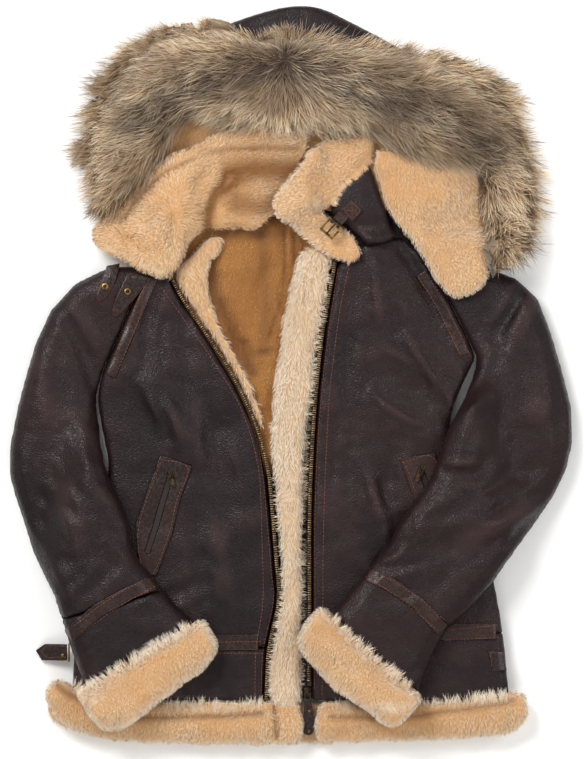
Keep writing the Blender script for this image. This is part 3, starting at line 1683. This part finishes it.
@dataclass
class Hood:
    """The hood's skin and the long fur round its opening."""

    whorl: Place = (286, 62)
    opening: Place = (300, 190)
    crown: Place = (268, 34)
    crown_size: Place = (62.0, 30.0)  # grid steps over which the fur is clipped for the crown
    crown_clip: float = 0.42
    outer_room: float = 25 * MM  # how far the core stays in from the fur's outer edge
    inner_room: float = 3 * MM  # and from its inner edge
    top_room: float = 13 * MM  # and from its top
    core_height: float = 2 * MM  # how near the core comes to the table
    drawn_on: tuple[Tug, ...] = (
        Tug((438, 142), 52, 0, -7),
        Tug((186, 122), 26, 4, -6),
        Tug((492, 205), 44, -5, 0),
        Tug((262, 24), 38, 0, -17),
    )
    back_end: Tug = Tug((278, 230), 34, 0, 24)
    part_line: tuple[Place, ...] = ((150, 118), (200, 84), (286, 66), (350, 86), (430, 112), (490, 150))
    most: int = 104_000  # triangles in each layer of fur
    underfur: Pile = Pile(
        17 * MM, 0.8 * MM, 40, 0.7, 0.34, 8 * MM, 0.2, droop=0.1, sideways=0.35, rim_cut=0.45
    )
    guard_hair: Pile = Pile(
        38 * MM, 0.55 * MM, 12, 0.72, 0.32, 15 * MM, 0.36, 0.12, 3, sideways=0.5, rim_cut=0.38
    )

    def build(self) -> list[Piece]:
        """Makes the hood's pieces."""
        made = [
            Leather(seed=51, voxel=6 * MM, rounds=4).cut("hood_back", tugs=(self.back_end,)),
            Leather(seed=52, rounds=6, voxel=4 * MM).cut("hood_crown"),
            Leather(seed=53, rounds=6, voxel=3 * MM).cut("collar_left_skin"),
        ]
        return made + self.fur()

    @staticmethod
    def above_the_rim(points: Array, normals: Array) -> Array:
        """The fur is rooted where the skin looks up or aside."""
        return np.clip((normals[:, 2] + 0.12) * 4, 0, 1)

    def clipped(self, points: Array) -> Array:
        """The share of its length that the fur has: shorter where it lies against the crown."""
        away = (layout(points) - np.array(self.crown)) / np.array(self.crown_size)
        return 1 - self.crown_clip * np.exp(-(away**2).sum(1))

    def fur(self) -> list[Piece]:
        """The long fur round the opening: a soft core, its underfur and its guard hairs."""
        nodes = ("ruff_right", "ruff_top", "ruff_left")
        core = one_core("ruff_skin", nodes, 6 * MM, 8, 16 * MM)
        points, normals = arrays(core.data)
        outer = (unit(points[:, :2] - np.array(spot(*self.opening))) * normals[:, :2]).sum(1)
        room = np.where(outer > 0, self.outer_room, self.inner_room)
        points[:, :2] -= normals[:, :2] * room[:, None]
        points[:, 2] -= np.clip(normals[:, 2], 0, 1) * self.top_room
        parting = Seam(self.part_line, 25, -9)
        points[:, 2] += parting.lift(points) * np.clip(normals[:, 2], 0, 1)
        points[:, 2] = np.maximum(points[:, 2], self.core_height)
        points += sum(tug.pull(points) for tug in self.drawn_on)
        reshape(core.data, points)
        swept(core)
        carry(core.data, "depth", 0.35 + 0.65 * parting.near(points))
        finished(core, Finish.UNDERFUR, "long_fur")
        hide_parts(*nodes)
        made, comb = [core], away_from(*self.whorl)
        for name, pile, finish in (
            ("ruff_underfur", self.underfur, Finish.UNDERFUR),
            ("ruff_guard_hair_lower", self.guard_hair, Finish.RUFF),
            ("ruff_guard_hair_upper", self.guard_hair, Finish.RUFF),
        ):
            seed, keep = 54 + len(made), self.above_the_rim
            hairs, roots = pile.grow(name, core, comb, seed, keep, self.most, self.clipped)
            each = 2 * pile.parts + 1
            levels = np.append(np.repeat(np.arange(pile.parts), 2) / pile.parts, 1.0)
            along = np.tile(levels, len(roots.place))
            carry(hairs.data, "depth", np.repeat(parting.near(roots.place), each) * (1 - 0.5 * along))
            chance = np.random.default_rng(5).random(len(roots.place))
            side = np.clip((np.abs(roots.place[:, 0] - 0.02) - 0.17) / 0.05, 0, 1)
            outer = side * (1 - np.clip(roots.out[:, 2], 0, 1))
            carry(hairs.data, "tip", np.repeat((chance < 0.1 + 0.9 * outer).astype(float), each))
            made.append(finished(hairs, finish, "long_fur"))
        return made


@dataclass
class Pockets:
    """The two slanted pockets: a glossy welt, a closed zip, its slider and pull."""

    def build(self) -> list[Piece]:
        """Makes the pockets' pieces."""
        made = []
        for side in ("right", "left"):
            welt = Leather(Finish.TRIM, "trim_leather", 1.5 * MM, 3, 0.15 * MM, 61)
            made.append(welt.cut(f"pocket_welt_{side}", (), Draping([f"front_{side}"])))
            dressed_node(f"pocket_zip_{side}", Finish.TAPE)
            dressed_node(f"zip_slider_pocket_{side}", Finish.OLD_BRASS, 0.3)
            dressed_node(f"zip_pull_pocket_{side}", Finish.OLD_BRASS, 0.3)
        return made


@dataclass
class Throat:
    """The throat fastening: two straps with eyelets, a patch, and an open buckle on its chape."""

    def build(self) -> list[Piece]:
        """Makes the fastening's pieces."""
        strap = Leather(Finish.STRAP, "strap_leather", 1.0 * MM, 1, 0.1 * MM, 71, Finish.RAW_EDGE)
        patch = Leather(Finish.TRIM, "trim_leather", 0.9 * MM, 1, 0.06 * MM, 72)
        made = [strap.cut(f"throat_strap_{place}") for place in ("upper", "lower")]
        made += [patch.cut("throat_patch"), patch.cut("throat_chape")]
        for node in ("throat_eyelet_upper", "throat_eyelet_lower", "throat_frame"):
            dressed_node(node, Finish.BRASS, 0.45)
        dressed_node("throat_prong", Finish.OLD_BRASS, 0.3)
        return made


@dataclass
class SideFastening:
    """The strap through its buckle at one side of the hem, and the short tab at the other."""

    rivet: tuple[Place, ...] = ((62.5, 655.5),)
    rivet_radius: float = 2.6 * MM

    def build(self) -> list[Piece]:
        """Makes the side pieces."""
        strap = Leather(Finish.STRAP, "strap_leather", 1.0 * MM, 2, 0.15 * MM, 73).cut("side_strap")
        tab = Leather(Finish.STRAP, "trim_leather", 1.1 * MM, 2, 0.1 * MM, 74).cut("side_tab")
        dressed_node("side_buckle_bar", Finish.BRASS, 0.5)
        on_strap = Surface([strap])
        return [strap, tab, rivets("side_strap_rivet", on_strap, self.rivet, self.rivet_radius, JACKET)]


@dataclass
class ZipTeeth:
    """Cast zip teeth: small blocks with a rounded top, side by side along a zip's edge."""

    pitch: float = 2.7 * MM
    thick: float = 1.5 * MM
    reach: float = 4.6 * MM
    height: float = 2.3 * MM

    def shape(self) -> tuple[Array, Array]:
        """One tooth, its X along the zip."""
        half, deep = self.thick / 2, self.reach / 2
        low, high = -0.4 * MM, self.height
        outer = [(-half, -deep), (half, -deep), (half, deep), (-half, deep)]
        points = [[x, y, low] for x, y in outer] + [[x * 0.95, y * 0.95, high * 0.7] for x, y in outer]
        points += [[x * 0.6, y * 0.7, high] for x, y in outer]
        faces = []
        for ring in (0, 4):
            for i in range(4):
                p, q = ring + i, ring + (i + 1) % 4
                faces += [[p, q, q + 4], [p, q + 4, p + 4]]
        faces += [[8, 9, 10], [8, 10, 11]]
        return np.array(points), np.array(faces)

    def run(self, name: str, surface: Surface, rows: Rows) -> Piece:
        """Sets teeth along a zip's edges.

        Args:
            name: The new piece's name.
            surface: What they are set on.
            rows: A line of grid places for each edge.

        Returns:
            The teeth as one piece.
        """
        base, pattern = self.shape()
        points, faces = [], []
        for row in rows:
            line = smooth_line(row, self.pitch)
            for before, here, after in zip([line[0], *line], line, [*line[1:], line[-1]]):
                found = surface.under(here.x, here.y)
                if found:
                    faces.append(pattern + len(points) * len(base))
                    points.append(set_solid(base, found[0], (after - before).to_3d(), Vector((0, 0, 1))))
        teeth = mesh_of(name, np.concatenate(points), np.concatenate(faces))
        return finished(teeth, Finish.TEETH, "antique_brass")


@dataclass
class MainZip:
    """The open main zip: a tape with teeth on each edge, the slider and the riveted leather pull."""

    right: tuple[Place, ...] = (
        (168.5, 271), (180.3, 295), (200.3, 325), (222, 358.3), (240.3, 390), (257.8, 430),
        (267.8, 470), (271.2, 500), (276.2, 560), (278.7, 600), (268.7, 650), (266.2, 699),
    )
    left: tuple[Place, ...] = (
        (335, 261), (332, 280), (322.8, 330), (316.2, 390),
        (312, 450), (309.5, 520), (309.5, 600), (308.8, 682),
    )
    pull_rivets: tuple[Place, ...] = ((309.4, 711), (309.0, 731))
    rivet_radius: float = 1.9 * MM

    def build(self) -> list[Piece]:
        """Makes the zip's pieces."""
        for node in ("zip_right", "zip_left"):
            dressed_node(node, Finish.TAPE, 0.2)
        dressed_node("zip_slider_main", Finish.OLD_BRASS, 0.6)
        dressed_node("zip_pull_main", Finish.STRAP, 0.5)
        tapes = Surface([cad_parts["zip_right"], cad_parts["zip_left"]])
        made = [ZipTeeth().run("zip_teeth", tapes, (self.right, self.left))]
        pull = Surface([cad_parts["zip_pull_main"]])
        made.append(rivets("pull_rivets", pull, self.pull_rivets, self.rivet_radius, "main_pull"))
        return made


def rivets(name: str, surface: Surface, places: Sequence[Place], radius: float, body: str) -> Piece:
    """Sets low domed rivet heads.

    Args:
        name: The new piece's name.
        surface: What they are set in.
        places: Their places on the layout grid.
        radius: Their radius, in metres.
        body: The body that they ride on.

    Returns:
        The heads as one piece.
    """
    around = 14
    rings = [(1.0, -0.1), (1.0, 0.18), (0.86, 0.36), (0.5, 0.5)]
    turn = np.arange(around) * 2 * math.pi / around
    wall = [[math.cos(t) * r, math.sin(t) * r, z] for r, z in rings for t in turn]
    base = np.array([*wall, [0, 0, 0.54]]) * radius
    pattern = []
    for ring in range(len(rings) - 1):
        for i in range(around):
            p, q = ring * around + i, ring * around + (i + 1) % around
            pattern += [[p, q, q + around], [p, q + around, p + around]]
    last = (len(rings) - 1) * around
    pattern += [[last + i, last + (i + 1) % around, len(base) - 1] for i in range(around)]
    points, faces = [], []
    for place in places:
        found = surface.under(*spot(*place))
        if found:
            faces.append(np.array(pattern) + len(points) * len(base))
            points.append(set_solid(base, found[0], Vector((1, 0, 0)), found[1]))
    heads = mesh_of(name, np.concatenate(points), np.concatenate(faces))
    return finished(heads, Finish.BRASS, "antique_brass", body)


@dataclass
class Sewing:
    """All the visible rows of stitches, by what they hold."""

    plackets: Rows = (
        ((162, 288), (185, 321), (206, 350), (224, 378), (238, 402), (249, 430),
         (256, 456), (260, 482), (262, 540), (263, 600), (256, 650), (255, 696)),
        ((246, 408), (257, 442), (263, 478), (267, 520), (271, 570), (273, 602), (263, 650), (261, 696)),
        ((349, 266), (340, 310), (332, 370), (329, 400), (325, 480), (323, 560), (323, 640), (322, 694)),
        ((338, 270), (329, 330), (322, 390), (317.5, 450), (315, 520), (315, 600), (314.5, 690)),
    )
    waist: Rows = (
        ((212, 642), (262, 641)),
        ((206, 653), (262, 653)),
        ((452, 629), (496, 625)),
        ((446, 640), (498, 637)),
    )
    armholes: Rows = (
        ((148, 277), (139, 298), (126, 328), (115, 355), (106, 376)),
        ((156, 281), (147, 302), (134, 332), (123, 359), (114, 380)),
        ((425, 272), (442, 298), (457, 328), (469, 353)),
        ((417, 276), (434, 302), (449, 332), (461, 357)),
    )
    cuffs: Rows = (
        ((76, 624), (100, 605), (120, 592), (148, 577)),
        ((76, 638), (96, 622), (125, 602), (156, 585)),
        ((380, 574), (394, 581), (420, 598), (444, 619)),
        ((366, 576), (380, 584), (406, 603), (438, 630)),
    )
    pockets: Rows = (
        ((162, 459), (188, 468), (177, 500), (169, 534), (154, 572), (143, 569), (139, 526), (161, 461)),
        ((403, 462), (432, 457), (442, 491), (432, 513), (418, 498), (410, 476), (404, 463)),
    )
    throat: Rows = (
        ((352, 203.5), (359.5, 211), (352, 218.5), (344.5, 211), (351, 204)),
        ((352, 205), (352, 217)), ((346, 211), (358, 211)),
    )
    strap: Rows = (
        ((41, 651.5), (47, 646.5), (56, 646.4), (65, 646.5)),
        ((41, 651.5), (47, 657.5), (56, 657.5), (65, 657.5)),
    )
    tab: Rows = (
        ((506, 653), (498, 652.5), (490, 652.5)),
        ((490, 653), (493.5, 671), (506, 672)),
    )

    def build(self, laid: Sequence[Piece]) -> list[Piece]:
        """Sews the rows.

        Args:
            laid: The pieces that they may be sewn on.

        Returns:
            The rows, a piece for each place.
        """

        def made_of(*words: str) -> Surface:
            """The laid pieces whose names start with these words."""
            return Surface([piece for piece in laid if piece.name.startswith(words)])

        torso = made_of("front_", "hem_band_", "waist_tape_", "armhole_tape_", "pocket_welt_")
        sleeves = made_of("sleeve_", "cuff_panel_", "cuff_tape_")
        throat = made_of("throat_", "collar_left_skin")
        seams = Stitching()
        fine = Stitching(2.2 * MM, 2.9 * MM, 0.7 * MM)
        return [
            seams.sew("placket_stitches", torso, self.plackets),
            seams.sew("waist_stitches", torso, self.waist),
            seams.sew("armhole_stitches", torso, self.armholes),
            seams.sew("cuff_stitches", sleeves, self.cuffs),
            seams.sew("pocket_stitches", torso, self.pockets),
            fine.sew("throat_stitches", throat, self.throat),
            fine.sew("side_tab_stitches", made_of("side_tab_cloth"), self.tab),
            fine.sew("side_strap_stitches", made_of("side_strap_cloth"), self.strap, "strap_leather"),
        ]


@dataclass
class SeamWool:
    """The wool that stands out of the seams and lies over the leather beside them."""

    full: SidedRows = (
        (((84, 688), (100, 677), (112, 670), (137, 656), (152, 645), (170, 633), (188, 625),
          (204, 621)), 1),
        (((322, 613), (336, 619), (350, 633), (373, 655), (396, 672), (411, 689)), 1),
        (((164, 703), (205, 703), (230, 704), (267, 700)), 1),
        (((332, 703), (380, 703), (430, 701), (480, 696), (508, 692)), 1),
        (((73, 678), (84, 690), (98, 700)), 1),
    )
    facings: SidedRows = (
        (((297, 266), (290, 310), (284, 345), (276, 400), (272, 432), (276, 500), (282, 560),
          (282, 600), (272, 650), (270, 697)), -1),
        (((329, 266), (325, 300), (319, 345), (313, 395), (308, 440), (304, 500), (303, 560),
          (303, 640), (302, 688)), 1),
    )
    soft: SidedRows = (
        (((372, 160), (366, 168), (352, 180), (340, 192), (333, 208)), 1),
        (((186, 270), (172, 277), (150, 270), (128, 260), (100, 246)), 1),
    )

    beside_zip: Fringe = Fringe(2.6 * MM, 7 * MM, 40, 8 * MM)
    at_neck: Fringe = Fringe(2.6 * MM, 5 * MM, 60, 8 * MM)

    def build(self, laid: Sequence[Piece]) -> list[Piece]:
        """Lays the seam wool.

        Args:
            laid: The pieces that have been laid so far.

        Returns:
            The wool, in three pieces.
        """
        firm = [piece for piece in laid if piece.name.endswith(("_cloth", "_skin", "teeth"))]
        surface, slot, cream = Surface(firm), "cream_fleece", Finish.CREAM
        return [
            Fringe().lay("seam_wool", surface, self.full, cream, slot, 81),
            self.beside_zip.lay("facing_seam_wool", surface, self.facings, cream, slot, 82),
            self.at_neck.lay("soft_seam_wool", surface, self.soft, Finish.HONEY, slot, 83),
        ]


@dataclass(frozen=True)
class FlatCut:
    """A piece as it is cut from a flat skin, and how it lies."""

    piece: str
    width: float  # m
    length: float  # m
    area: float | None = None  # m2, where the cut isn't a rectangle
    rests_on: tuple[str, ...] = ("table_top",)
    carries: tuple[str, ...] = ()
    held: str = "laid"


@dataclass
class CuttingList:
    """The flat cut of every skin and strip that shows, and the two cuffs' stuffed rolls."""

    cuts: tuple[FlatCut, ...] = (
        FlatCut("back_cloth", 0.52, 0.52, 0.196, carries=("back_wool",)),
        FlatCut("front_right_cloth", 0.24, 0.46, 0.073, ("back_cloth",), ("placket_stitches",)),
        FlatCut("front_left_cloth", 0.235, 0.48, 0.078, ("back_cloth",), ("pocket_stitches",)),
        FlatCut("back_hem_band_cloth", 0.066, 0.52, 0.033),
        FlatCut(
            "hem_band_right_cloth", 0.065, 0.235, 0.0145,
            ("back_hem_band_cloth",), ("waist_stitches",),
        ),
        FlatCut("hem_band_left_cloth", 0.08, 0.24, 0.018, ("back_hem_band_cloth",), ("seam_wool",)),
        FlatCut("hem_fleece_back_cloth", 0.055, 0.58, 0.026, carries=("hem_fleece_back_wool",)),
        FlatCut(
            "hem_fleece_right_cloth", 0.055, 0.30, 0.0155,
            ("hem_fleece_back_cloth",), ("hem_fleece_right_wool",),
        ),
        FlatCut(
            "hem_fleece_left_cloth", 0.05, 0.25, 0.0118,
            ("hem_fleece_back_cloth",), ("hem_fleece_left_wool",),
        ),
        FlatCut(
            "facing_right_cloth", 0.025, 0.235, 0.0041,
            ("back_cloth",), ("facing_right_wool",),
        ),
        FlatCut(
            "facing_left_cloth", 0.042, 0.53, 0.019,
            ("back_cloth",), ("facing_left_wool", "facing_seam_wool"),
        ),
        FlatCut("zip_right", 0.0165, 0.55, None, ("front_right_cloth",), ("zip_teeth",)),
        FlatCut("zip_left", 0.017, 0.513, None, ("front_left_cloth",)),
        FlatCut(
            "waist_tape_right_cloth", 0.02, 0.215, None,
            ("front_right_cloth", "hem_band_right_cloth"),
        ),
        FlatCut(
            "waist_tape_left_cloth", 0.02, 0.20, None,
            ("front_left_cloth", "hem_band_left_cloth"),
        ),
        FlatCut(
            "armhole_tape_right_cloth", 0.0115, 0.137, None,
            ("front_right_cloth",), ("armhole_stitches",),
        ),
        FlatCut("armhole_tape_left_cloth", 0.0115, 0.121, None, ("front_left_cloth",)),
        FlatCut("sleeve_right_under_cloth", 0.135, 0.48, 0.049, ("front_right_cloth",)),
        FlatCut("sleeve_right_upper_cloth", 0.135, 0.43, 0.044, ("sleeve_right_under_cloth",)),
        FlatCut("sleeve_left_under_cloth", 0.155, 0.50, 0.059, ("front_left_cloth",)),
        FlatCut("sleeve_left_upper_cloth", 0.155, 0.45, 0.055, ("sleeve_left_under_cloth",)),
        FlatCut("cuff_panel_right_cloth", 0.08, 0.14, 0.0098, ("front_right_cloth",)),
        FlatCut("cuff_panel_left_cloth", 0.08, 0.14, 0.0098, ("front_left_cloth",)),
        FlatCut(
            "cuff_tape_right_cloth", 0.0165, 0.14, None,
            ("cuff_panel_right_cloth",), ("cuff_stitches",),
        ),
        FlatCut("cuff_tape_left_cloth", 0.0165, 0.126, None, ("cuff_panel_left_cloth",)),
        FlatCut(
            "collar_right_cloth", 0.195, 0.26, 0.0275,
            ("hood_lining_cloth",), ("collar_right_wool",), "folded",
        ),
        FlatCut(
            "collar_left_skin_cloth", 0.08, 0.095, 0.0047,
            ("hood_lining_cloth",), ("throat_stitches",),
        ),
        FlatCut(
            "collar_left_roll_cloth", 0.07, 0.165, 0.0094, ("collar_left_skin_cloth",),
            ("collar_left_roll_wool", "soft_seam_wool"), "folded",
        ),
        FlatCut("hood_back_cloth", 0.27, 0.40, 0.077),
        FlatCut("hood_crown_cloth", 0.115, 0.365, 0.029, ("hood_back_cloth",), held="folded"),
        FlatCut(
            "hood_lining_cloth", 0.13, 0.36, 0.038,
            ("hood_back_cloth",), ("hood_lining_wool",),
        ),
        FlatCut(
            "hood_lobe_left_cloth", 0.125, 0.175, 0.0162,
            ("hood_back_cloth",), ("hood_lobe_left_wool",),
        ),
        FlatCut(
            "ruff_skin", 0.11, 0.86, 0.084, ("hood_back_cloth", "hood_lining_cloth"),
            ("ruff_underfur", "ruff_guard_hair_lower", "ruff_guard_hair_upper"),
        ),
        FlatCut("pocket_welt_right_cloth", 0.04, 0.15, 0.0047, ("front_right_cloth",)),
        FlatCut("pocket_welt_left_cloth", 0.036, 0.085, 0.0024, ("front_left_cloth",)),
        FlatCut("throat_strap_upper_cloth", 0.016, 0.05, None, ("front_right_cloth",)),
        FlatCut("throat_strap_lower_cloth", 0.018, 0.066, None, ("front_right_cloth",)),
        FlatCut("throat_patch_cloth", 0.0187, 0.0187, None, ("collar_left_skin_cloth",)),
        FlatCut(
            "throat_chape_cloth", 0.018, 0.02, None,
            ("collar_left_skin_cloth",), held="folded",
        ),
        FlatCut(
            "side_strap_cloth", 0.02, 0.043, None, ("hem_band_right_cloth",),
            ("side_strap_stitches", "side_strap_rivet"),
        ),
        FlatCut(
            "side_tab_cloth", 0.023, 0.025, None,
            ("hem_band_left_cloth",), ("side_tab_stitches",),
        ),
    )
    rolls: tuple[str, ...] = ("cuff_fleece_right_cloth", "cuff_fleece_left_cloth")
    roll_fill: float = 0.7  # how full of wool a roll is

    def declare(self) -> None:
        """States every cut to the frame."""
        for cut in self.cuts:
            list(cut.rests_on)
            list(cut.carries)
        for roll in self.rolls:
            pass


@dataclass
class Studio:
    """A pale table under soft lamps, and a camera straight above."""

    distance: float = 8.0  # metres from the table to the camera
    view_height: float = 759 * STEP
    centre: Place = (292.0, 379.5)

    def build(self) -> None:
        """Makes the floor, the lamps, the world and the camera."""
        self.floor()
        self.lamp("window", (-1.3, 1.5, 2.6), 1.3, 78)
        self.lamp("fill", (1.8, 0.4, 2.4), 1.6, 26)
        self.lamp("foot", (-0.2, -2.0, 2.2), 1.4, 12)
        scene = bpy.context.scene
        world = bpy.data.worlds.new("pale room")
        world.use_nodes = True
        back = world.node_tree.nodes["Background"]
        back.inputs[0].default_value = linear("#fbfaf8")
        back.inputs[1].default_value = 0.55
        scene.world = world
        scene.view_settings.view_transform = "Standard"
        data = bpy.data.cameras.new("camera")
        data.sensor_fit, data.sensor_height = "VERTICAL", 24.0
        data.lens = 12.0 * self.distance / (self.view_height / 2)
        data.clip_end = 40.0
        camera = bpy.data.objects.new("camera", data)
        x, y = spot(*self.centre)
        camera.location = (x, y, self.distance + 0.02)
        scene.collection.objects.link(camera)
        scene.camera = camera

    def floor(self) -> None:
        """A plain pale table top."""
        half = 5.0
        corners = [[-half, -half, 0.0], [half, -half, 0.0], [half, half, 0.0], [-half, half, 0.0]]
        floor = mesh_of("table_top", np.array(corners), np.array([[0, 1, 2], [0, 2, 3]]))
        material, _, shader = blank("matt_white_table")
        shader.inputs["Base Color"].default_value = linear("#fbfbfa")
        shader.inputs["Roughness"].default_value = 0.9
        shader.inputs["Specular IOR Level"].default_value = 0.1
        floor.data.materials.append(material)
        floor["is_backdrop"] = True

    @staticmethod
    def lamp(name: str, place: tuple[float, float, float], size: float, watts: float) -> None:
        """Hangs a square soft lamp that looks at the jacket.

        Args:
            name: The lamp's name.
            place: Where it hangs, in metres.
            size: The length of its side, in metres.
            watts: Its power.
        """
        data = bpy.data.lights.new(name, "AREA")
        data.size, data.energy = size, watts
        lamp = bpy.data.objects.new(name, data)
        lamp.location = place
        lamp.rotation_euler = (-Vector(place)).to_track_quat("-Z", "Y").to_euler()
        bpy.context.scene.collection.objects.link(lamp)


def main() -> None:
    """Builds the jacket's looks piece by piece, then the studio."""
    logging.basicConfig(level=logging.INFO, format="%(message)s", stream=sys.stdout, force=True)
    laid: list[Piece] = []
    clothing = (Torso(), Sleeves(), Hood(), WoolTrim())
    fastenings = (Pockets(), Throat(), SideFastening(), MainZip())
    for part in (*clothing, *fastenings):
        laid += part.build()
    laid += SeamWool().build(laid)
    bare = [piece for piece in laid if "wool" not in piece.name and "hair" not in piece.name]
    laid += Sewing().build(bare)
    total = 0
    for piece in laid:
        piece.data.calc_loop_triangles()
        total += len(piece.data.loop_triangles)
        log.info("%s: %d triangles", piece.name, len(piece.data.loop_triangles))
    log.info("all pieces: %d triangles", total)
    Studio().build()
    CuttingList().declare()


if __name__ == "__main__":
    main()
    bpy.context.view_layer.update()
    [[list(map(float, corner)) for corner in box] for box in (CAD_BOX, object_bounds())]
